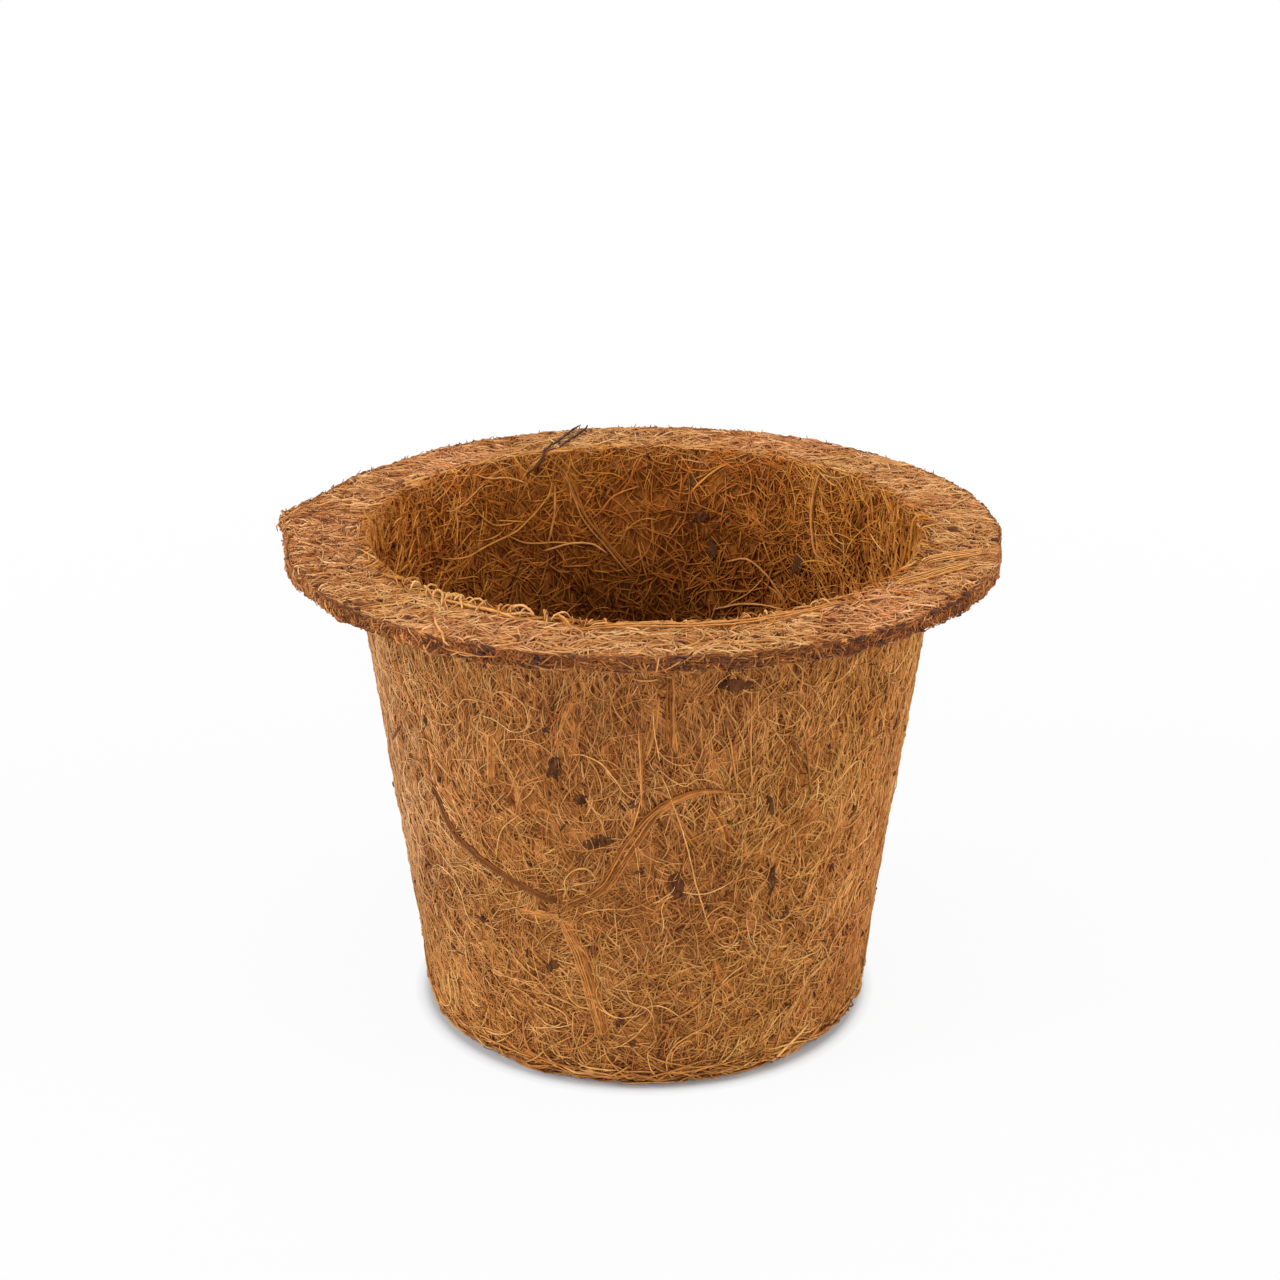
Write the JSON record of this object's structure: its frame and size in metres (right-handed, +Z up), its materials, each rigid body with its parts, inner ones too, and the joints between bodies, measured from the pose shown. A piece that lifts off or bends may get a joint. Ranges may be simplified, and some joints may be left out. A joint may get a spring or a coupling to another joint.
{
  "type": "coir pot",
  "caption": "Round tapered planting pot of pressed coconut-fibre felt, with a flat trimmed rim flange, a raised fibre lip and an open mouth, for seedlings and small plants.",
  "frame": {"origin": "centre of the foot, on the surface that the pot stands on", "axes": "+Z up along the pot's axis, -Y towards the front of the pot, +X to its right"},
  "size_m": [0.095, 0.095, 0.0686],
  "materials": {
    "outer_felt": "matte pressed coir felt, orange-brown",
    "inner_felt": "matte loose coir felt, golden brown",
    "rim_felt": "matte pressed coir felt, light tan",
    "pale_strand": "dry coir fibre with a slight sheen",
    "dark_strand": "dark dry coir fibre",
    "husk": "matte dark husk pith"
  },
  "bodies": {
    "root": {"base_disc": "outer_felt", "wall_sleeve": "outer_felt", "inner_lining": "inner_felt", "rim_flange": "rim_felt", "right_rim_strand_upper": "pale_strand", "right_rim_strand_lower": "pale_strand", "lip_strand_left": "pale_strand", "lip_strand_front": "pale_strand", "flat_wall_strap": "pale_strand", "pale_wall_strand": "pale_strand", "upright_wall_strand": "pale_strand", "inner_wall_strand": "pale_strand", "dark_rim_fibre_long": "dark_strand", "dark_rim_fibre_short": "dark_strand", "dark_wall_strand": "dark_strand", "wall_husk_flake_1": "husk", "wall_husk_flake_2": "husk", "wall_husk_flake_3": "husk", "wall_husk_flake_4": "husk", "wall_husk_flake_5": "husk", "wall_husk_flake_6": "husk", "wall_husk_flake_7": "husk", "wall_husk_flake_8": "husk", "wall_husk_flake_9": "husk", "inner_husk_flake_1": "husk", "inner_husk_flake_2": "husk", "inner_husk_flake_3": "husk", "inner_husk_flake_4": "husk"}
  },
  "joints": []
}
